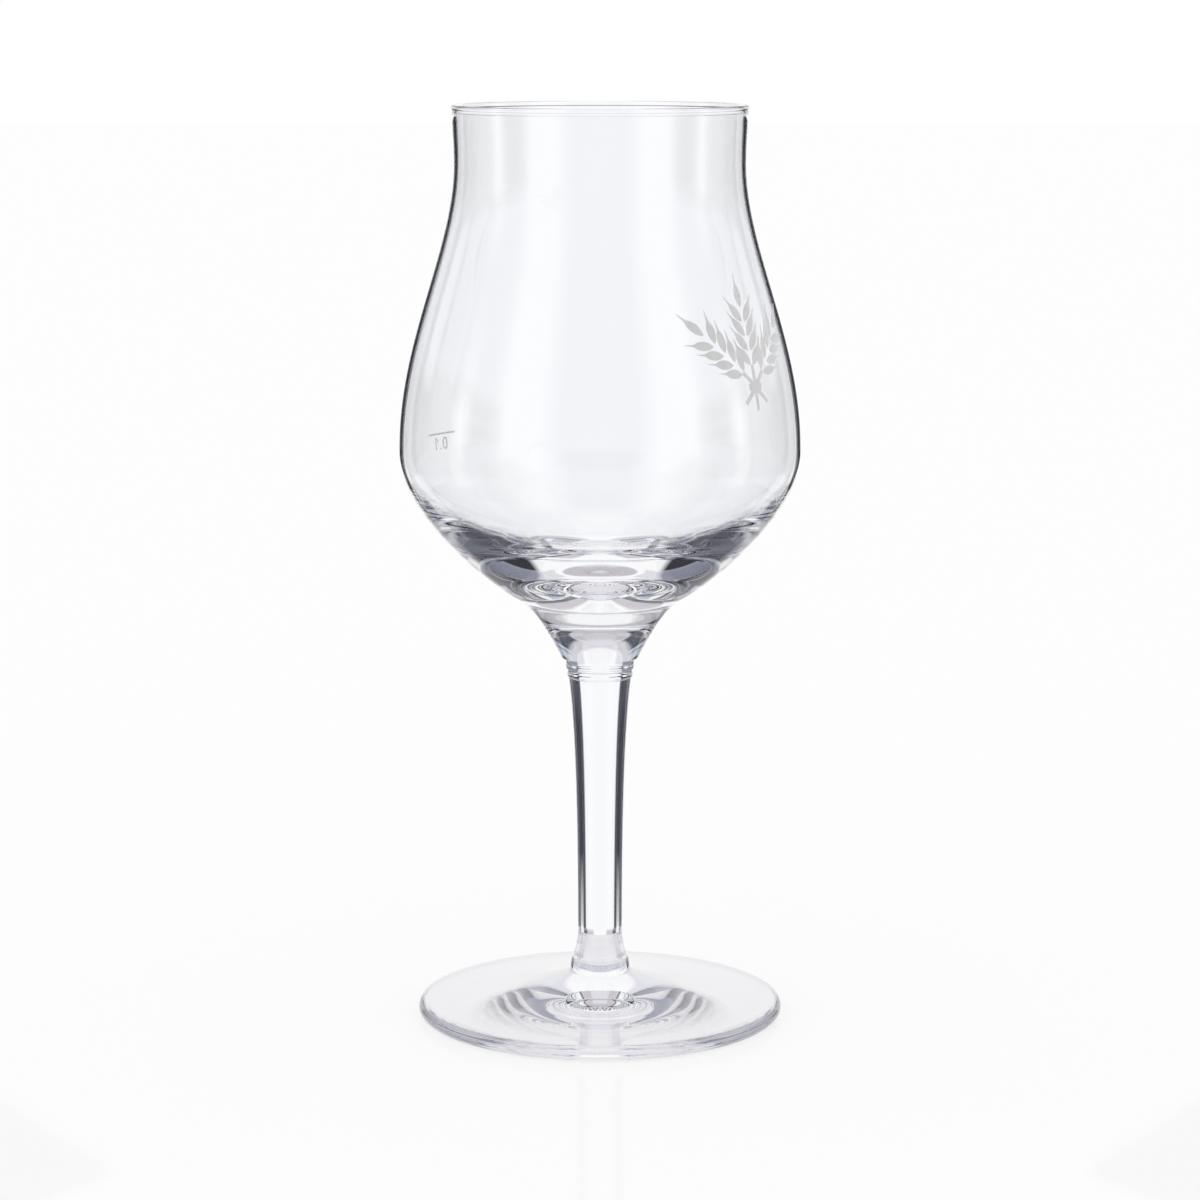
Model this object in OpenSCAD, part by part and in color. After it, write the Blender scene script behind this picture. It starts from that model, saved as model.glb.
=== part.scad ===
// Tulip beer glass: a blown bowl, a solid stem and a disc foot, with two enamel prints on the bowl.
// Lengths are millimetres. The foot stands on the plane z = 0 and the axis of the glass is +Z.
// The front of the glass faces -Y, and print angles turn from there towards +X.

/* [Bowl] */
// Height of the bowl, from the seam on the stem to the lip
bowl_h = 116.9; // [105:0.1:130]
// Outer diameter of the wall just under the lip bead
lip_d = 61.8; // [54:0.1:70]
// Wall thickness at the lip and at the waist
wall = 0.8; // [0.6:0.05:1.4]
// How far the lip bead stands out of the wall outside
bead_out = 0.25; // [0.1:0.05:0.6]
// How far the lip bead stands out of the wall inside
bead_in = 0.05; // [0.05:0.05:0.4]
// Outer diameter of the drawn-in waist
waist_d = 61.3; // [52:0.1:70]
// Depth of the waist below the lip
waist_drop = 11.9; // [6:0.1:19]
// Outer diameter of the belly, the widest place
belly_d = 85; // [75:0.1:96]
// Height of the belly above the seam
belly_h = 44.6; // [38:0.1:54]
// Wall thickness at the belly
belly_wall = 0.6; // [0.4:0.05:1.2]
// Outer diameter of the throat, where the bowl turns from round to hollow-sided
throat_d = 35.7; // [30:0.1:42]
// Height of the throat above the seam
throat_h = 13; // [10:0.1:16]
// Slope of the throat, measured from upright
throat_slope = 60.5; // [54:0.1:66]
// Outer diameter of the bowl's base at the seam
base_d = 16.35; // [14.5:0.05:20]
// Slope of the wall where it reaches the seam, measured from upright
base_slope = 27; // [18:0.1:38]
// Thickness of the solid glass between the seam and the cavity's floor
base_t = 17.5; // [14:0.1:22]

/* [Stem] */
// Length of the stem, from the foot's hub to the bowl's seam
stem_len = 65.2; // [48:0.1:82]
// Diameter of the stem's top, under the bowl's seam
stem_top_d = 15.1; // [11.5:0.1:16.1]
// Slope of the stem's flare under the seam, measured from upright
stem_flare_slope = 16.2; // [8:0.1:24]
// Diameter of the stem at its thinnest place
stem_d = 9.55; // [7.5:0.05:11]
// Height of the thinnest place above the hub
stem_thin_h = 5.2; // [4:0.1:12]
// Diameter of the stem's lower end, on the hub
stem_end_d = 11.3; // [9.5:0.1:11.7]
// Depth of the upper moulding ring below the seam
ring_drop = 2; // [1:0.1:4]
// Distance from one moulding ring to the next
ring_pitch = 1.8; // [1.6:0.1:3]
// How far the moulding rings stand out of the stem
ring_out = 0.25; // [0.1:0.05:0.5]
// Height of one moulding ring
ring_h = 1.2; // [0.8:0.1:1.5]

/* [Foot] */
// Diameter of the foot
foot_d = 78.4; // [66:0.1:92]
// Thickness of the foot's rounded edge
edge_t = 3.15; // [2:0.05:5]
// Height of the hub's top, where the stem is welded on
hub_top_h = 12.9; // [10.5:0.1:17]
// Height of the hub's lower end, where the foot's slope begins
hub_base_h = 9.2; // [6.5:0.05:10.2]
// Diameter of the hub's top
hub_top_d = 11.75; // [10:0.05:14]
// Diameter of the hub's lower end
hub_base_d = 13.4; // [12:0.1:17]
// Width of the flat ring that the glass rests on
rest_w = 2.5; // [1:0.1:5]
// Depth of the hollow in the underside
hollow_t = 1.15; // [0.5:0.05:2]

/* [Front print] */
// Angle of the print's middle from the front
print_angle = 51; // [0:1:359]
// Height of the print's tie above the belly
print_rise = 16; // [12:0.1:24]
// Thickness of both enamel prints
print_t = 0.08; // [0.05:0.01:0.15]
// Lean of the two outer barley ears
ear_lean = 47; // [44:1:56]
// Length of the straw between the tie and an ear
straw_len = 4.4; // [3.8:0.1:7]
// Length of the straw's cut end below the tie
straw_tail = 4.8; // [3:0.1:6]
// Width of a straw
straw_w = 0.85; // [0.5:0.05:1.2]
// Length of one grain
grain_l = 4.8; // [3.8:0.1:5.8]
// Width of one grain
grain_w = 1.9; // [1.2:0.05:2]
// Distance along the ear from one pair of grains to the next
grain_pitch = 2.9; // [2.75:0.05:3.5]
// Lean of a grain from its ear
grain_lean = 38; // [34:1:44]
// Half of the gap between the two rows of grains
grain_gap = 0.4; // [0.2:0.05:0.8]
// Length of the bristle on a grain
awn_l = 2.5; // [2:0.1:4]
// Width of the bristle where it leaves the grain
awn_w = 0.5; // [0.3:0.05:0.7]
// Width of the tie
tie_w = 4; // [3.4:0.1:6]
// Height of the tie
tie_h = 1.4; // [1:0.1:2]

/* [Fill mark] */
// Angle of the fill mark's middle from the front
mark_angle = 236; // [0:1:359]
// Height of the fill line above the cavity's floor
fill_depth = 27.9; // [24:0.1:32]
// Length of the fill line
line_l = 9.6; // [6:0.1:14]
// Thickness of the fill line's stroke
line_w = 0.4; // [0.3:0.05:0.8]
// Height of the figures
figure_h = 2.7; // [2:0.1:3.6]
// Width of the figure nought
figure_w = 1.6; // [1.4:0.1:2.4]
// Thickness of the figures' strokes
stroke = 0.36; // [0.3:0.02:0.6]
// Gap between the line and the figures, and between one figure and the next
figure_gap = 0.65; // [0.5:0.05:1]

/* [Hidden] */

$fn = 96;
// How far a motif's block reaches past the belly before it is cut to the wall
overrun = 2;
glass_colour = [0.87, 0.91, 0.94, 0.5];
print_colour = [0.84, 0.83, 0.83];

// Curve handles, as shares of the height or the width that each curve spans
lip_handle_share = 0.58;
neck_handle_shares = [0.293, 0.386];
shoulder_handle_shares = [0.419, 0.212];
base_handle_shares = [0.342, 0.495];
cavity_handle_shares = [0.62, 0.38];
stem_handle_shares = [0.05, 0.8];
stem_end_handle_shares = [0.45, 0.25];
foot_handle_shares = [0.18, 0.48];
foot_drop_shares = [0.56, 0.19];
hollow_handle_shares = [0.4, 0.6];

// Steps along each curve
lip_steps = 5;
bead_steps = 16;
neck_steps = 34;
shoulder_steps = 24;
base_steps = 14;
cavity_steps = 30;
stem_steps = 36;
stem_end_steps = 8;
foot_steps = 24;
edge_steps = 14;
ring_steps = 8;
hollow_steps = 12;
grain_pairs = 4;
ring_count = 2;

// Heights
seam_z = hub_top_h + stem_len;
lip_z = seam_z + bowl_h;
waist_z = lip_z - waist_drop;
belly_z = seam_z + belly_h;
throat_z = seam_z + throat_h;
floor_z = seam_z + base_t;
thin_z = hub_top_h + stem_thin_h;
fill_z = floor_z + fill_depth;

// Radii
lip_r = lip_d / 2;
waist_r = waist_d / 2;
belly_r = belly_d / 2;
throat_r = throat_d / 2;
base_r = base_d / 2;
stem_top_r = stem_top_d / 2;
stem_r = stem_d / 2;
stem_end_r = stem_end_d / 2;
edge_r = edge_t / 2;
rim_r = foot_d / 2 - edge_r;
rest_r = rim_r - rest_w;
hub_top_r = hub_top_d / 2;
hub_base_r = hub_base_d / 2;
bead_r = (wall + bead_out + bead_in) / 2;
bead_mid = [lip_r + bead_out - bead_r, lip_z - bead_r];

// Points of a cubic curve through four control points, from step first to the last step
function curve(p, steps, first = 0) = [
    for (i = [first : steps])
        let (t = i / steps, s = 1 - t)
            s * s * s * p[0] + 3 * s * s * t * p[1] + 3 * s * t * t * p[2] + t * t * t * p[3]
];

// Points of an arc, from one angle to another
function arc(middle, radius, from, to, steps) = [
    for (i = [0 : steps])
        let (a = from + (to - from) * i / steps)
            middle + radius * [cos(a), sin(a)]
];

// Points of a round bulge between two places of an outline, standing out of it by reach
function bulge(top, low, reach, steps) =
    let (chord = norm(top - low), up = (top - low) / chord, out = [up[1], -up[0]],
         radius = (chord * chord / 4 + reach * reach) / (2 * reach),
         middle = (top + low) / 2 + (reach - radius) * out,
         half = asin(chord / (2 * radius)))
        [for (i = [0 : steps])
            let (a = half * (1 - 2 * i / steps))
                middle + radius * (cos(a) * out + sin(a) * up)];

// Direction of a slope that is measured from upright
function slope(angle) = [sin(angle), cos(angle)];

function reversed(p) = [for (i = [len(p) - 1 : -1 : 0]) p[i]];

// The lip bead, round from the outer wall over the top to the inner wall
bead_start = -acos((bead_r - bead_out) / bead_r);
bead_end = 360 - acos((bead_in - bead_r) / bead_r);
bead = arc(bead_mid, bead_r, bead_start, bead_end, bead_steps);

// One side of the wall from the bead down to the waist, where it has the radius given
function lip_wall(start, end_r) =
    let (drop = start[1] - waist_z)
        curve([start, start - [0, lip_handle_share * drop],
               [end_r, waist_z + lip_handle_share * drop], [end_r, waist_z]], lip_steps, 1);

// One side of the wall from the waist down to the belly, with its radii there
function neck_wall(top_r, low_r) =
    let (drop = waist_z - belly_z)
        curve([[top_r, waist_z], [top_r, waist_z - neck_handle_shares[0] * drop],
               [low_r, belly_z + neck_handle_shares[1] * drop], [low_r, belly_z]], neck_steps, 1);

shoulder_drop = belly_z - throat_z;
throat = [throat_r, throat_z];
shoulder_wall = curve(
    [[belly_r, belly_z], [belly_r, belly_z - shoulder_handle_shares[0] * shoulder_drop],
     throat + shoulder_handle_shares[1] * shoulder_drop * slope(throat_slope), throat], shoulder_steps, 1);

base_end = [base_r, seam_z];
base_wall = curve(
    [throat, throat - base_handle_shares[0] * throat_h * slope(throat_slope),
     base_end + base_handle_shares[1] * throat_h * slope(base_slope), base_end], base_steps, 1);

cavity_r = belly_r - belly_wall;
cavity_depth = belly_z - floor_z;
cavity_floor = curve(
    [[cavity_r, belly_z], [cavity_r, belly_z - cavity_handle_shares[0] * cavity_depth],
     [cavity_handle_shares[1] * cavity_r, floor_z], [0, floor_z]], cavity_steps, 1);

outer_neck = neck_wall(waist_r, belly_r);
bowl_outline = concat(
    reversed(bead),
    lip_wall(bead[0], waist_r), outer_neck, shoulder_wall, base_wall,
    [[0, seam_z]],
    reversed(concat(lip_wall(bead[bead_steps], waist_r - wall), neck_wall(waist_r - wall, cavity_r), cavity_floor))
);

// The part of the bowl's outer wall that carries the prints
print_wall = concat([[waist_r, waist_z]], outer_neck, shoulder_wall);

stem_drop = stem_len - stem_thin_h;
plain_side = concat(
    curve([[stem_top_r, seam_z], [stem_top_r, seam_z] - stem_handle_shares[0] * stem_drop * slope(stem_flare_slope),
           [stem_r, thin_z + stem_handle_shares[1] * stem_drop], [stem_r, thin_z]], stem_steps),
    curve([[stem_r, thin_z], [stem_r, thin_z - stem_end_handle_shares[0] * stem_thin_h],
           [stem_end_r, hub_top_h + stem_end_handle_shares[1] * stem_thin_h], [stem_end_r, hub_top_h]],
          stem_end_steps, 1)
);

// A place on the plain side, and the ends of one moulding ring there
function plain_place(z) = [lookup(z, [for (p = plain_side) [p[1], p[0]]]), z];
function ring_top(i) = seam_z - ring_drop - i * ring_pitch + ring_h / 2;
function ring_low(i) = ring_top(i) - ring_h;

// The plain side with a round bulge let in for each moulding ring
stem_side = [
    for (i = [0 : ring_count])
        let (upper_z = i == 0 ? lip_z : ring_low(i - 1), lower_z = i == ring_count ? 0 : ring_top(i))
            each concat(
                [for (p = plain_side) if (p[1] < upper_z && p[1] > lower_z) p],
                i == ring_count ? [] :
                    bulge(plain_place(ring_top(i)), plain_place(ring_low(i)), ring_out, ring_steps)
            )
];

foot_run = rim_r - hub_base_r;
foot_drop = hub_base_h - edge_t;
foot_outline = concat(
    [[0, hub_top_h], [hub_top_r, hub_top_h]],
    curve([[hub_base_r, hub_base_h],
           [hub_base_r + foot_handle_shares[0] * foot_run, edge_t + foot_drop_shares[0] * foot_drop],
           [rim_r - foot_handle_shares[1] * foot_run, edge_t + foot_drop_shares[1] * foot_drop],
           [rim_r, edge_t]], foot_steps),
    arc([rim_r, edge_r], edge_r, 90, -90, edge_steps),
    curve([[rest_r, 0], [rest_r - hollow_handle_shares[0] * rest_r, hollow_t],
           [hollow_handle_shares[1] * rest_r, hollow_t], [0, hollow_t]], hollow_steps)
);

// A pointed grain of the given length and width, with its lower point at the origin
module grain() {
    side_r = (grain_l * grain_l + grain_w * grain_w) / (4 * grain_w);
    shift = side_r - grain_w / 2;
    translate([0, grain_l / 2])
        intersection() {
            translate([shift, 0]) circle(r = side_r);
            translate([-shift, 0]) circle(r = side_r);
        }
}

// A grain with its bristle, which starts inside the grain's upper point
module bearded_grain() {
    grain();
    translate([0, grain_l - awn_w])
        polygon([[-awn_w / 2, 0], [awn_w / 2, 0], [0, awn_l]]);
}

// One barley ear on its straw, with the tie at the origin
module ear() {
    translate([-straw_w / 2, -straw_tail])
        square([straw_w, straw_tail + straw_len]);
    for (i = [0 : grain_pairs - 1])
        for (side = [-1, 1])
            translate([side * grain_gap, straw_len + i * grain_pitch])
                rotate(-side * grain_lean)
                    bearded_grain();
    translate([0, straw_len + grain_pairs * grain_pitch])
        bearded_grain();
}

// Three barley ears tied into a small sheaf
module sheaf() {
    for (lean = [-ear_lean, 0, ear_lean])
        rotate(lean)
            ear();
    translate([-tie_w / 2, -tie_h / 2])
        square([tie_w, tie_h]);
}

// The figure nought, its left edge at the origin
module nought() {
    end_r = figure_w / 2;
    straight = figure_h - figure_w;
    difference() {
        union() {
            for (y = [end_r, end_r + straight])
                translate([end_r, y]) circle(r = end_r);
            translate([0, end_r]) square([figure_w, straight]);
        }
        for (y = [end_r, end_r + straight])
            translate([end_r, y]) circle(r = end_r - stroke);
        translate([stroke, end_r]) square([figure_w - 2 * stroke, straight]);
    }
}

// The figure one, its left edge at the origin
module one() {
    flag = 2 * stroke;
    translate([flag, 0]) square([stroke, figure_h]);
    polygon([[0, figure_h - flag - stroke], [flag, figure_h - stroke], [flag, figure_h], [0, figure_h - flag]]);
}

// The fill line with its number of litres below, the line's upper edge at the origin
module fill_figures() {
    point_x = figure_w + figure_gap;
    one_x = point_x + stroke + figure_gap;
    whole_w = one_x + 3 * stroke;
    translate([-line_l / 2, -line_w]) square([line_l, line_w]);
    translate([-whole_w / 2, -line_w - figure_gap - figure_h]) {
        nought();
        translate([point_x, 0]) square([stroke, stroke]);
        translate([one_x, 0]) one();
    }
}

// An enamel print: the flat motif, laid on the bowl's outer wall at an angle and a height
module enamel(angle, height) {
    color(print_colour)
        intersection() {
            rotate_extrude()
                polygon(concat(print_wall, reversed([for (p = print_wall) p + [print_t, 0]])));
            rotate([0, 0, angle])
                translate([0, 0, height])
                    rotate([90, 0, 0])
                        linear_extrude(height = belly_r + overrun)
                            children();
        }
}

module bowl() {
    color(glass_colour) rotate_extrude() polygon(bowl_outline);
}

module stem() {
    color(glass_colour)
        rotate_extrude()
            polygon(concat([[0, seam_z]], stem_side, [[0, hub_top_h]]));
}

module foot() {
    color(glass_colour) rotate_extrude() polygon(foot_outline);
}

module front_print() {
    enamel(print_angle, belly_z + print_rise) sheaf();
}

module fill_mark() {
    enamel(mark_angle, fill_z) fill_figures();
}

bowl();
stem();
foot();
front_print();
fill_mark();
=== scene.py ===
"""Tulip beer glass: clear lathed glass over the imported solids, with two fired enamel prints."""
import math

import bpy
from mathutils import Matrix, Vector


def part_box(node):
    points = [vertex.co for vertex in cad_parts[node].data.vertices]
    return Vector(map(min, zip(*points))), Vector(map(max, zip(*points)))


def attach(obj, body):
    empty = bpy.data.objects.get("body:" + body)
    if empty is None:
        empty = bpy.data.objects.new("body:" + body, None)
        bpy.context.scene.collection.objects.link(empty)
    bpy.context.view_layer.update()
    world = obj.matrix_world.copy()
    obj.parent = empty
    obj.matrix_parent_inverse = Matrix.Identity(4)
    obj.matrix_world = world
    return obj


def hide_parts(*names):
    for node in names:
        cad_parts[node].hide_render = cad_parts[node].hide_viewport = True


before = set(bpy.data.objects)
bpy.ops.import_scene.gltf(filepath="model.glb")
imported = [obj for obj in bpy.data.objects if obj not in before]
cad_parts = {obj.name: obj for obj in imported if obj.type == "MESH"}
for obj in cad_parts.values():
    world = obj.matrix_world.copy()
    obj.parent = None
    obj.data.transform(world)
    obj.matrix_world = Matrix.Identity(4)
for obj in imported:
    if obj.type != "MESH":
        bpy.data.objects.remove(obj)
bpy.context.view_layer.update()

MM = 0.001
BODY = "root"

# Camera, fitted to the rim and foot ellipses of the photograph, in pixels, millimetres and degrees
IMAGE_PX = 1200
FOCAL_PX = 3572
CAMERA_DISTANCE = 751.4
CAMERA_HEIGHT = 215.05
CAMERA_PITCH = 9.424
SENSOR_MM = 36

# Heights and radii that the frame gives, in millimetres
SEAM_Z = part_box("bowl")[0][2] / MM
LIP_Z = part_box("bowl")[1][2] / MM
BELLY_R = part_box("bowl")[1][0] / MM
HUB_TOP_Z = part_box("foot")[1][2] / MM
FOOT_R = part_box("foot")[1][0] / MM
STEM_TOP_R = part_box("stem")[1][0] / MM

# Bowl, in millimetres and degrees
LIP_R = 30.9
WALL = 0.8
BEAD_OUT = 0.25
BEAD_IN = 0.05
WAIST_R = 30.65
WAIST_DROP = 11.9
BELLY_H = 44.6
BELLY_WALL = 0.6
THROAT_R = 17.85
THROAT_H = 13
THROAT_SLOPE = 60.5
BASE_R = 8.175
BASE_SLOPE = 27
BASE_T = 17.5

# Stem, in millimetres and degrees
STEM_FLARE_SLOPE = 16.2
STEM_R = 4.775
STEM_THIN_H = 5.2
STEM_END_R = 5.65
RING_DROP = 2
RING_PITCH = 1.8
RING_COUNT = 2
RING_OUT = 0.25
RING_H = 1.2

# Foot, in millimetres
EDGE_T = 3.15
HUB_BASE_H = 9.2
HUB_TOP_R = 5.875
HUB_BASE_R = 6.7
REST_W = 2.5
HOLLOW_T = 1.15

# Curve handles, as shares of the height or the width that each curve spans
LIP_HANDLE_SHARE = 0.58
NECK_HANDLE_SHARES = (0.293, 0.386)
SHOULDER_HANDLE_SHARES = (0.419, 0.212)
BASE_HANDLE_SHARES = (0.342, 0.495)
CAVITY_HANDLE_SHARES = (0.62, 0.38)
STEM_HANDLE_SHARES = (0.05, 0.8)
STEM_END_HANDLE_SHARES = (0.45, 0.25)
FOOT_HANDLE_SHARES = (0.18, 0.48)
FOOT_DROP_SHARES = (0.56, 0.19)
HOLLOW_HANDLE_SHARES = (0.4, 0.6)

# Steps along each curve and round the axis
LIP_STEPS = 12
BEAD_STEPS = 24
NECK_STEPS = 64
SHOULDER_STEPS = 48
BASE_STEPS = 36
CAVITY_STEPS = 64
STEM_STEPS = 90
STEM_END_STEPS = 20
RING_STEPS = 14
FOOT_STEPS = 60
EDGE_STEPS = 28
HOLLOW_STEPS = 40
TURNS = 192

# Points of an outline nearer than SAME_PLACE count as one, and points nearer the axis than ON_AXIS lie on
# it, in millimetres. Edges that bend by more than SHARP_ANGLE degrees stay sharp.
SAME_PLACE = 1e-6
ON_AXIS = 1e-9
SHARP_ANGLE = 32

# Sizes that follow from those above
WAIST_Z = LIP_Z - WAIST_DROP
BELLY_Z = SEAM_Z + BELLY_H
THROAT_Z = SEAM_Z + THROAT_H
FLOOR_Z = SEAM_Z + BASE_T
THIN_Z = HUB_TOP_Z + STEM_THIN_H
CAVITY_R = BELLY_R - BELLY_WALL
EDGE_R = EDGE_T / 2
RIM_R = FOOT_R - EDGE_R
REST_R = RIM_R - REST_W

# Glass
GLASS_TINT = (0.985, 0.99, 1.0, 1)
GLASS_IOR = 1.51
GLASS_BOUNCES = 32

# Enamel. ENAMEL_DEPTH is how far light wanders through it, in millimetres.
ENAMEL_DARK = (0.64, 0.63, 0.63, 1)
ENAMEL_PALE = (0.8, 0.79, 0.79, 1)
ENAMEL_ROUGHNESS = (0.36, 0.54)
ENAMEL_MOTTLES_PER_M = 900
ENAMEL_MOTTLE_DETAIL = 4
ENAMEL_DEPTH = 0.5

# Table, in millimetres. The glass sees it glow within TABLE_R of the axis.
TABLE_COLOUR = (0.98, 0.98, 0.98, 1)
# The glow is painted shade: it is set dimmer than white for the table shaded under the foot.
TABLE_SHADED_GLOW = (0.8, 0.79, 0.81, 1)
TABLE_R = 46
TABLE_HALF_SPAN = 6000
TABLE_DROP = 0.1
TABLE_WHITE_SHARE = 0.8
TABLE_POLISH_SHARE = 0.05
TABLE_POLISH_ROUGHNESS = 0.06

# Colours of the surroundings
WHITE = (1, 1, 1, 1)
CARD_WHITE = (0.97, 0.98, 1, 1)
DRAPE_GREY = (0.76, 0.76, 0.8, 1)
CEILING_GREY = (0.6, 0.58, 0.61, 1)
ROOM_GREY = (0.47, 0.5, 0.62, 1)
DUSK = (0.28, 0.29, 0.37, 1)
SLATE = (0.12, 0.125, 0.155, 1)
BLACK = (0.03, 0.03, 0.04, 1)

# Dark and grey flags that the glass sees round it, before white, each in front of those listed above it.
# Each has its least and greatest bearing to either side of straight behind the glass (+Y), its least and
# greatest elevation, in degrees, and its colour.
FLAGS = (
    (-9, 190, 30, 100, CEILING_GREY),
    (-9, 18, 30, 60, DRAPE_GREY),
    (18, 30, 6, 30, DRAPE_GREY),
    (12, 30, -99, -17, CEILING_GREY),
    (145, 190, -60, 30, ROOM_GREY),
    (84, 190, 30, 60, BLACK),
    (45, 84, 40, 60, BLACK),
    (27, 58, -99, -17, SLATE),
    (58, 150, -99, -17, ROOM_GREY),
    (30, 81, 5, 30, DUSK),
    (81, 122, 12, 30, ROOM_GREY),
    (55, 122, 5, 12, SLATE),
    (58, 81, 5, 30, SLATE),
    (30, 122, -17, 5, BLACK),
)
FLAG_SOFTNESS = 3

# White panels in front of the flags. Each has its bearings and elevations, and how softly it ends, in
# degrees.
PANELS = (
    (38, 52, -38, -14, 3),
    (84, 96, -26, 8, 6),
    (119, 151, -60, 60, 14),
)

# Cards beside and behind the glass, one to either hand: black ones that draw the bowl's edges and pale ones
# that light its sides. Each has its colour, its least and greatest height, how far out and how far back its
# inner edge stands at the bottom, how far that edge leans in at the top, how far the card runs outward and
# back from it, in millimetres, and whether it is seen through the glass or only mirrored by it.
CARDS = {
    "black_card": {"colour": BLACK, "heights": (89, 190), "inner_edge": (57, 47), "lean_in": 16,
                   "run": (174, 268), "seen_through": True},
    "pale_card": {"colour": CARD_WHITE, "heights": (62, 205), "inner_edge": (99, 99), "lean_in": 0,
                  "run": (80, -109), "seen_through": False},
}


def blend(points, weights):
    """The weighted sum of points, each a radius and a height."""
    return tuple(sum(w * p[i] for p, w in zip(points, weights)) for i in range(2))


def curve(points, steps):
    """Points of a cubic curve, from the first of four control points to the last."""
    found = []
    for i in range(steps + 1):
        t = i / steps
        s = 1 - t
        found.append(blend(points, (s ** 3, 3 * s * s * t, 3 * s * t * t, t ** 3)))
    return found


def arc(middle, radius, start, end, steps):
    """Points of an arc, from one angle in degrees to another."""
    found = []
    for i in range(steps + 1):
        a = math.radians(start + (end - start) * i / steps)
        found.append((middle[0] + radius * math.cos(a), middle[1] + radius * math.sin(a)))
    return found


def along(point, reach, angle):
    """The place reached from point along a slope that is measured from upright."""
    a = math.radians(angle)
    return (point[0] + reach * math.sin(a), point[1] + reach * math.cos(a))


def lip_wall(start, end_r):
    """One side of the wall from the bead down to the waist."""
    reach = LIP_HANDLE_SHARE * (start[1] - WAIST_Z)
    return curve([start, (start[0], start[1] - reach),
                  (end_r, WAIST_Z + reach), (end_r, WAIST_Z)], LIP_STEPS)


def neck_wall(top_r, low_r):
    """One side of the wall from the waist down to the belly."""
    drop = WAIST_Z - BELLY_Z
    return curve([(top_r, WAIST_Z), (top_r, WAIST_Z - NECK_HANDLE_SHARES[0] * drop),
                  (low_r, BELLY_Z + NECK_HANDLE_SHARES[1] * drop), (low_r, BELLY_Z)], NECK_STEPS)


def bowl_outline():
    """The bowl's section, from the middle of its base up the outside, over the lip and down to the floor."""
    bead_r = (WALL + BEAD_OUT + BEAD_IN) / 2
    bead_mid = (LIP_R + BEAD_OUT - bead_r, LIP_Z - bead_r)
    bead_start = -math.degrees(math.acos((bead_r - BEAD_OUT) / bead_r))
    bead_end = 360 - math.degrees(math.acos((BEAD_IN - bead_r) / bead_r))
    bead = arc(bead_mid, bead_r, bead_start, bead_end, BEAD_STEPS)
    drop = BELLY_Z - THROAT_Z
    throat = (THROAT_R, THROAT_Z)
    shoulder = curve([(BELLY_R, BELLY_Z), (BELLY_R, BELLY_Z - SHOULDER_HANDLE_SHARES[0] * drop),
                      along(throat, SHOULDER_HANDLE_SHARES[1] * drop, THROAT_SLOPE), throat], SHOULDER_STEPS)
    base_end = (BASE_R, SEAM_Z)
    base = curve([throat, along(throat, -BASE_HANDLE_SHARES[0] * THROAT_H, THROAT_SLOPE),
                  along(base_end, BASE_HANDLE_SHARES[1] * THROAT_H, BASE_SLOPE), base_end], BASE_STEPS)
    depth = BELLY_Z - FLOOR_Z
    cavity = curve([(CAVITY_R, BELLY_Z), (CAVITY_R, BELLY_Z - CAVITY_HANDLE_SHARES[0] * depth),
                    (CAVITY_HANDLE_SHARES[1] * CAVITY_R, FLOOR_Z), (0, FLOOR_Z)], CAVITY_STEPS)
    outside = lip_wall(bead[0], WAIST_R) + neck_wall(WAIST_R, BELLY_R) + shoulder + base
    inside = lip_wall(bead[-1], WAIST_R - WALL) + neck_wall(WAIST_R - WALL, CAVITY_R) + cavity
    return [(0, SEAM_Z), (STEM_TOP_R, SEAM_Z)] + outside[::-1] + bead + inside


def bulge(top, low, reach, steps):
    """Points of a round bulge between two places of an outline."""
    chord = math.dist(top, low)
    up = ((top[0] - low[0]) / chord, (top[1] - low[1]) / chord)
    out = (up[1], -up[0])
    radius = (chord * chord / 4 + reach * reach) / (2 * reach)
    middle = [(top[i] + low[i]) / 2 + (reach - radius) * out[i] for i in range(2)]
    half = math.asin(chord / (2 * radius))
    found = []
    for i in range(steps + 1):
        a = half * (1 - 2 * i / steps)
        found.append(tuple(middle[k] + radius * (math.cos(a) * out[k] + math.sin(a) * up[k])
                           for k in range(2)))
    return found


def place_at(side, z):
    """The place on a falling outline at a height."""
    for above, below in zip(side, side[1:]):
        if above[1] >= z >= below[1]:
            t = (above[1] - z) / (above[1] - below[1])
            return blend((above, below), (1 - t, t))
    raise ValueError(f"no place at {z}")


def plain_stem_side():
    """The stem's side without its rings, from the seam down to the hub."""
    top = (STEM_TOP_R, SEAM_Z)
    drop = SEAM_Z - THIN_Z
    low_h = THIN_Z - HUB_TOP_Z
    upper = curve([top, along(top, -STEM_HANDLE_SHARES[0] * drop, STEM_FLARE_SLOPE),
                   (STEM_R, THIN_Z + STEM_HANDLE_SHARES[1] * drop), (STEM_R, THIN_Z)], STEM_STEPS)
    lower = curve([(STEM_R, THIN_Z), (STEM_R, THIN_Z - STEM_END_HANDLE_SHARES[0] * low_h),
                   (STEM_END_R, HUB_TOP_Z + STEM_END_HANDLE_SHARES[1] * low_h),
                   (STEM_END_R, HUB_TOP_Z)], STEM_END_STEPS)
    return upper + lower[1:]


def stem_outline():
    """The stem's section, from the middle of its lower end up the side to the middle of its top."""
    plain = plain_stem_side()
    side = []
    above = LIP_Z
    for i in range(RING_COUNT):
        ring_top = SEAM_Z - RING_DROP - i * RING_PITCH + RING_H / 2
        side += [p for p in plain if ring_top < p[1] < above]
        side += bulge(place_at(plain, ring_top), place_at(plain, ring_top - RING_H), RING_OUT, RING_STEPS)
        above = ring_top - RING_H
    side += [p for p in plain if p[1] < above]
    return [(0, HUB_TOP_Z)] + side[::-1] + [(0, SEAM_Z)]


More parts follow.
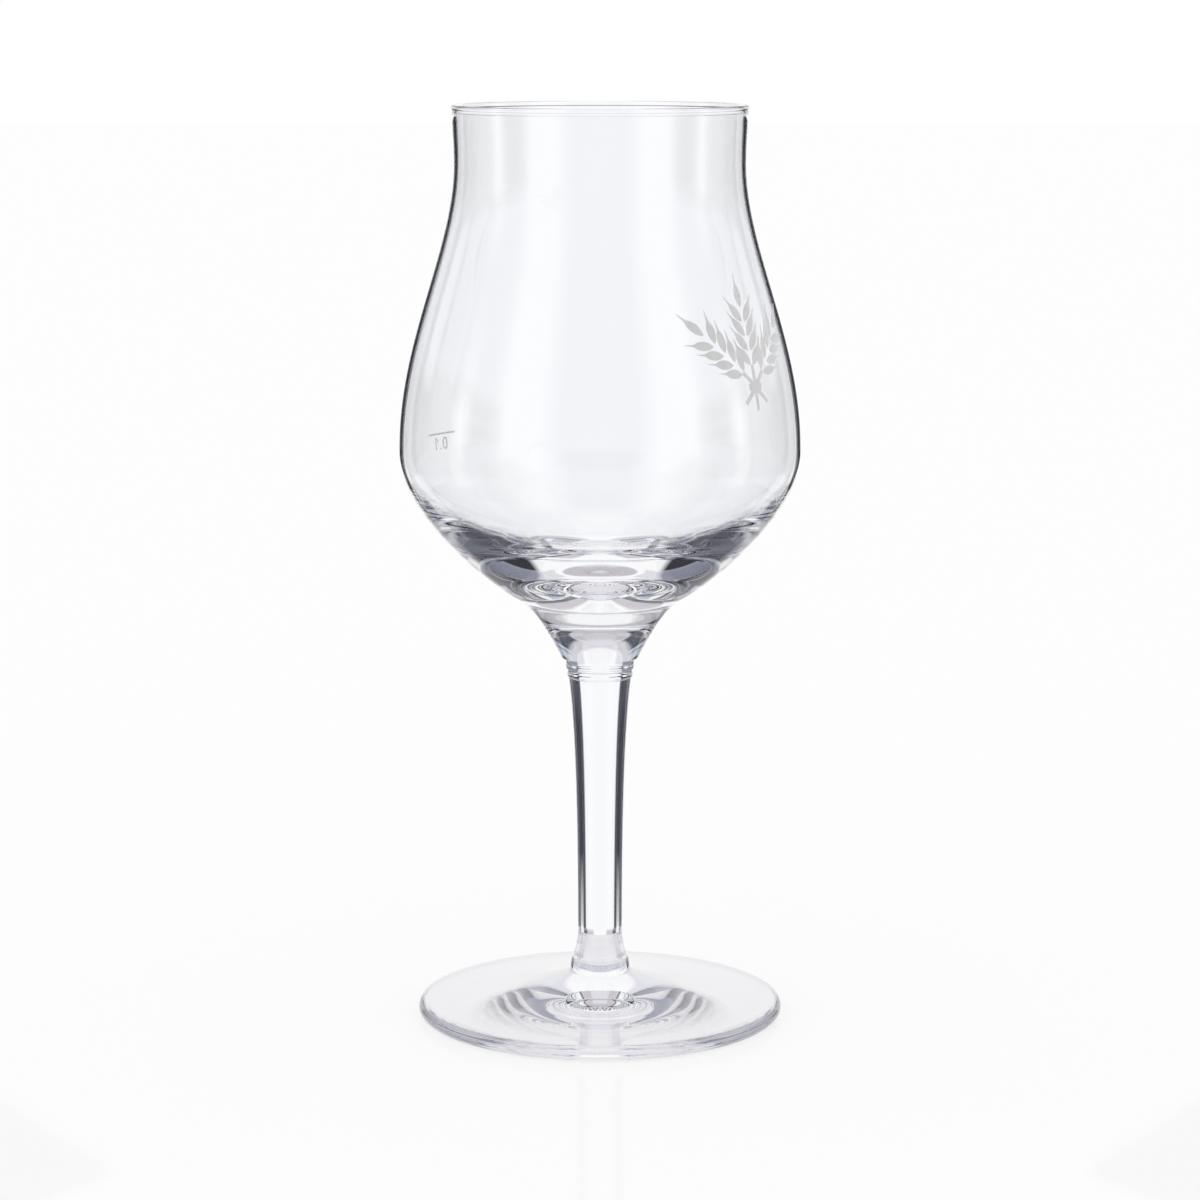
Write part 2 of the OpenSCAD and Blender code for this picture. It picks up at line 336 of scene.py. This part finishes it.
def foot_outline():
    """The foot's section, from the middle of its underside out to the edge and up to the hub's top."""
    run = RIM_R - HUB_BASE_R
    drop = HUB_BASE_H - EDGE_T
    top = curve([(HUB_BASE_R, HUB_BASE_H),
                 (HUB_BASE_R + FOOT_HANDLE_SHARES[0] * run, EDGE_T + FOOT_DROP_SHARES[0] * drop),
                 (RIM_R - FOOT_HANDLE_SHARES[1] * run, EDGE_T + FOOT_DROP_SHARES[1] * drop),
                 (RIM_R, EDGE_T)], FOOT_STEPS)
    edge = arc((RIM_R, EDGE_R), EDGE_R, 90, -90, EDGE_STEPS)
    under = curve([(REST_R, 0), (REST_R - HOLLOW_HANDLE_SHARES[0] * REST_R, HOLLOW_T),
                   (HOLLOW_HANDLE_SHARES[1] * REST_R, HOLLOW_T), (0, HOLLOW_T)], HOLLOW_STEPS)
    hub_top = [(HUB_TOP_R, HUB_TOP_Z), (STEM_END_R, HUB_TOP_Z), (0, HUB_TOP_Z)]
    return under[::-1] + edge[::-1] + top[::-1] + hub_top


def lathe(name, outline, materials, hidden_spans):
    """A closed mesh turned from an outline whose ends lie on the axis.

    The spans in hidden_spans, counted from the start or back from the end, get the second material.
    """
    points = [outline[0]]
    for p in outline[1:]:
        if math.dist(p, points[-1]) > SAME_PLACE:
            points.append(p)
    verts = []
    rings = []
    for r, z in points:
        if r < ON_AXIS:
            rings.append([len(verts)])
            verts.append((0, 0, z * MM))
        else:
            rings.append(list(range(len(verts), len(verts) + TURNS)))
            for k in range(TURNS):
                a = 2 * math.pi * k / TURNS
                verts.append((r * MM * math.cos(a), r * MM * math.sin(a), z * MM))
    faces = []
    spans = []
    for i, (one, two) in enumerate(zip(rings, rings[1:])):
        for k in range(TURNS):
            n = (k + 1) % TURNS
            corners = [one[k % len(one)], one[n % len(one)], two[n % len(two)], two[k % len(two)]]
            faces.append(list(dict.fromkeys(corners)))
            spans.append(i)
    mesh = bpy.data.meshes.new(name)
    mesh.from_pydata(verts, [], faces)
    for m in materials:
        mesh.materials.append(m)
    span_count = len(rings) - 1
    for poly, span in zip(mesh.polygons, spans):
        poly.material_index = 1 if span in hidden_spans or span - span_count in hidden_spans else 0
    mesh.shade_smooth()
    mesh.set_sharp_from_angle(angle=math.radians(SHARP_ANGLE))
    piece = bpy.data.objects.new(name, mesh)
    bpy.context.scene.collection.objects.link(piece)
    return piece


def new_material(name):
    """An empty node material with its output node."""
    mat = bpy.data.materials.new(name)
    mat.use_nodes = True
    mat.node_tree.nodes.clear()
    out = mat.node_tree.nodes.new("ShaderNodeOutputMaterial")
    return mat, mat.node_tree, out


def maths(tree, kind, *values):
    """A math node over numbers or sockets."""
    node = tree.nodes.new("ShaderNodeMath")
    node.operation = kind
    for socket, value in zip(node.inputs, values):
        if isinstance(value, (int, float)):
            socket.default_value = value
        else:
            tree.links.new(value, socket)
    return node.outputs[0]


def band(tree, value, low, high, softness):
    """1 where value lies between low and high, with soft edges."""
    rise = tree.nodes.new("ShaderNodeMapRange")
    rise.inputs["From Min"].default_value = low - softness / 2
    rise.inputs["From Max"].default_value = low + softness / 2
    fall = tree.nodes.new("ShaderNodeMapRange")
    fall.inputs["From Min"].default_value = high + softness / 2
    fall.inputs["From Max"].default_value = high - softness / 2
    for node in (rise, fall):
        tree.links.new(value, node.inputs["Value"])
    return maths(tree, "MULTIPLY", rise.outputs[0], fall.outputs[0])


def blended(tree, share, one, two):
    """A colour mixed from two by a share. A colour is a value or a socket."""
    node = tree.nodes.new("ShaderNodeMix")
    node.data_type = "RGBA"
    tree.links.new(share, node.inputs[0])
    for socket, colour in ((node.inputs[6], one), (node.inputs[7], two)):
        if isinstance(colour, tuple):
            socket.default_value = colour
        else:
            tree.links.new(colour, socket)
    return node.outputs[2]


def mixed(tree, share, one, two):
    """A shader mixed from two by a share."""
    node = tree.nodes.new("ShaderNodeMixShader")
    for socket, value in zip(node.inputs, (share, one, two)):
        tree.links.new(value, socket)
    return node.outputs[0]


def glow(tree, colour):
    """An even glow."""
    node = tree.nodes.new("ShaderNodeEmission")
    node.inputs["Color"].default_value = colour
    return node.outputs[0]


def see_through(tree):
    """A shader that lets light straight through."""
    return tree.nodes.new("ShaderNodeBsdfTransparent").outputs[0]


def seen_by_glass(tree, path):
    """1 for rays that the glass bends or mirrors, 0 for the rest."""
    return maths(tree, "MAXIMUM", path.outputs["Is Glossy Ray"], path.outputs["Is Transmission Ray"])


def glass_material():
    """Clear polished glass."""
    mat, tree, out = new_material("clear_glass")
    shader = tree.nodes.new("ShaderNodeBsdfPrincipled")
    shader.inputs["Base Color"].default_value = GLASS_TINT
    shader.inputs["Roughness"].default_value = 0
    shader.inputs["IOR"].default_value = GLASS_IOR
    shader.inputs["Transmission Weight"].default_value = 1
    tree.links.new(shader.outputs["BSDF"], out.inputs["Surface"])
    return mat


def weld_material():
    """The fused faces inside the glass, which light passes straight through."""
    mat, tree, out = new_material("fused_weld")
    tree.links.new(see_through(tree), out.inputs["Surface"])
    return mat


def enamel_material():
    """Fired light grey enamel, mottled slightly as a screen print is, and thin enough to pass light."""
    mat, tree, out = new_material("grey_enamel")
    shader = tree.nodes.new("ShaderNodeBsdfPrincipled")
    place = tree.nodes.new("ShaderNodeTexCoord")
    mottle = tree.nodes.new("ShaderNodeTexNoise")
    mottle.inputs["Scale"].default_value = ENAMEL_MOTTLES_PER_M
    mottle.inputs["Detail"].default_value = ENAMEL_MOTTLE_DETAIL
    tree.links.new(place.outputs["Object"], mottle.inputs["Vector"])
    tree.links.new(blended(tree, mottle.outputs[0], ENAMEL_DARK, ENAMEL_PALE), shader.inputs["Base Color"])
    matt = tree.nodes.new("ShaderNodeMapRange")
    matt.inputs["To Min"].default_value = ENAMEL_ROUGHNESS[0]
    matt.inputs["To Max"].default_value = ENAMEL_ROUGHNESS[1]
    tree.links.new(mottle.outputs[0], matt.inputs["Value"])
    tree.links.new(matt.outputs[0], shader.inputs["Roughness"])
    shader.inputs["Subsurface Weight"].default_value = 1
    shader.inputs["Subsurface Radius"].default_value = (1, 1, 1)
    shader.inputs["Subsurface Scale"].default_value = ENAMEL_DEPTH * MM
    tree.links.new(shader.outputs["BSDF"], out.inputs["Surface"])
    return mat


def table_material():
    """White table.

    The camera sees it with a soft shadow and a faint mirror image. The glass sees a glow near its foot,
    dimmed below white as painted shade of the table under the foot, and nothing beyond.
    """
    mat, tree, out = new_material("white_table")
    matte = tree.nodes.new("ShaderNodeBsdfDiffuse")
    matte.inputs["Color"].default_value = TABLE_COLOUR
    polish = tree.nodes.new("ShaderNodeBsdfGlossy")
    polish.inputs["Roughness"].default_value = TABLE_POLISH_ROUGHNESS
    path = tree.nodes.new("ShaderNodeLightPath")
    white_share = maths(tree, "MULTIPLY", path.outputs["Is Camera Ray"], TABLE_WHITE_SHARE)
    polish_share = maths(tree, "MULTIPLY", path.outputs["Is Camera Ray"], TABLE_POLISH_SHARE)
    lit = mixed(tree, white_share, matte.outputs[0], glow(tree, WHITE))
    for_camera = mixed(tree, polish_share, lit, polish.outputs[0])
    geometry = tree.nodes.new("ShaderNodeNewGeometry")
    length = tree.nodes.new("ShaderNodeVectorMath")
    length.operation = "LENGTH"
    tree.links.new(geometry.outputs["Position"], length.inputs[0])
    near = maths(tree, "LESS_THAN", length.outputs["Value"], TABLE_R * MM)
    # The glow near the foot is painted shade of the table under it, dimmer than white.
    for_glass = mixed(tree, near, see_through(tree), glow(tree, TABLE_SHADED_GLOW))
    tree.links.new(mixed(tree, seen_by_glass(tree, path), for_camera, for_glass), out.inputs["Surface"])
    return mat


def card_material(name, colour):
    """A card that glows from its front and isn't there from behind."""
    mat, tree, out = new_material(name)
    geometry = tree.nodes.new("ShaderNodeNewGeometry")
    one_sided = mixed(tree, geometry.outputs["Backfacing"], glow(tree, colour), see_through(tree))
    tree.links.new(one_sided, out.inputs["Surface"])
    return mat


def dress_glass():
    """The three glass pieces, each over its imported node."""
    glass = glass_material()
    weld = weld_material()
    for node, outline, hidden in (("bowl", bowl_outline(), {0}), ("stem", stem_outline(), {0, -1}),
                                  ("foot", foot_outline(), {-1})):
        piece = lathe("glass_" + node, outline, [glass, weld], hidden)
        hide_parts(node)
        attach(piece, BODY)


def dress_prints():
    """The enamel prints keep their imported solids."""
    enamel = enamel_material()
    for node in ("front_print", "fill_mark"):
        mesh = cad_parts[node].data
        mesh.materials.clear()
        mesh.materials.append(enamel)


def build_world():
    """White for the camera, even light for matt surfaces, and white with flags and panels for the glass."""
    world = bpy.data.worlds.new("studio")
    bpy.context.scene.world = world
    world.use_nodes = True
    tree = world.node_tree
    tree.nodes.clear()
    out = tree.nodes.new("ShaderNodeOutputWorld")
    place = tree.nodes.new("ShaderNodeTexCoord")
    split = tree.nodes.new("ShaderNodeSeparateXYZ")
    tree.links.new(place.outputs["Generated"], split.inputs[0])
    turn = maths(tree, "DEGREES", maths(tree, "ARCTAN2", split.outputs["X"], split.outputs["Y"]))
    bearing = maths(tree, "ABSOLUTE", turn)
    elevation = maths(tree, "DEGREES", maths(tree, "ARCSINE", split.outputs["Z"]))
    studio = WHITE
    shades = [flag + (FLAG_SOFTNESS,) for flag in FLAGS]
    shades += [panel[:4] + (WHITE, panel[4]) for panel in PANELS]
    for near, far, low, high, colour, softness in shades:
        across = band(tree, bearing, near, far, softness)
        upright = band(tree, elevation, low, high, softness)
        studio = blended(tree, maths(tree, "MULTIPLY", across, upright), studio, colour)
    path = tree.nodes.new("ShaderNodeLightPath")
    light = tree.nodes.new("ShaderNodeBackground")
    tree.links.new(blended(tree, seen_by_glass(tree, path), WHITE, studio), light.inputs["Color"])
    tree.links.new(light.outputs[0], out.inputs["Surface"])


def board(name, corners, order, material):
    """A flat board in the scene, with its corners in millimetres and the order that they go round in."""
    mesh = bpy.data.meshes.new(name)
    mesh.from_pydata([tuple(v * MM for v in corner) for corner in corners], [], [order])
    mesh.materials.append(material)
    made = bpy.data.objects.new(name, mesh)
    bpy.context.scene.collection.objects.link(made)
    return made


def build_floor():
    """A wide plain floor that the foot stands on."""
    half = TABLE_HALF_SPAN
    corners = [(-half, -half, 0), (half, -half, 0), (half, half, 0), (-half, half, 0)]
    floor = board("floor", corners, (0, 1, 2, 3), table_material())
    floor.location.z = -TABLE_DROP * MM


def build_cards():
    """The cards, which only the glass sees, and only from their fronts."""
    for name, spec in CARDS.items():
        mat = card_material(name, spec["colour"])
        low, high = spec["heights"]
        x, y = spec["inner_edge"]
        end_x = x + spec["run"][0]
        end_y = y + spec["run"][1]
        top_x = x - spec["lean_in"]
        for hand, side, order in (("_left", -1, (3, 2, 1, 0)), ("_right", 1, (0, 1, 2, 3))):
            corners = [(side * x, y, low), (side * end_x, end_y, low),
                       (side * end_x, end_y, high), (side * top_x, y, high)]
            card = board(name + hand, corners, order, mat)
            card.visible_camera = False
            card.visible_diffuse = False
            card.visible_shadow = False
            card.visible_transmission = spec["seen_through"]


def build_camera():
    """The camera at the photograph's place."""
    data = bpy.data.cameras.new("camera")
    data.sensor_width = SENSOR_MM
    data.lens = SENSOR_MM * FOCAL_PX / IMAGE_PX
    camera = bpy.data.objects.new("camera", data)
    camera.location = (0, -CAMERA_DISTANCE * MM, CAMERA_HEIGHT * MM)
    camera.rotation_euler = (math.radians(90 - CAMERA_PITCH), 0, 0)
    bpy.context.scene.collection.objects.link(camera)
    bpy.context.scene.camera = camera


def allow_glass_paths():
    """Enough bounces for light that runs down the stem like a pipe."""
    cycles = bpy.context.scene.cycles
    cycles.max_bounces = GLASS_BOUNCES
    cycles.glossy_bounces = GLASS_BOUNCES
    cycles.transmission_bounces = GLASS_BOUNCES
    cycles.transparent_max_bounces = GLASS_BOUNCES


bpy.context.scene.view_settings.view_transform = "Standard"
allow_glass_paths()
build_camera()
dress_glass()
dress_prints()
build_world()
build_floor()
build_cards()
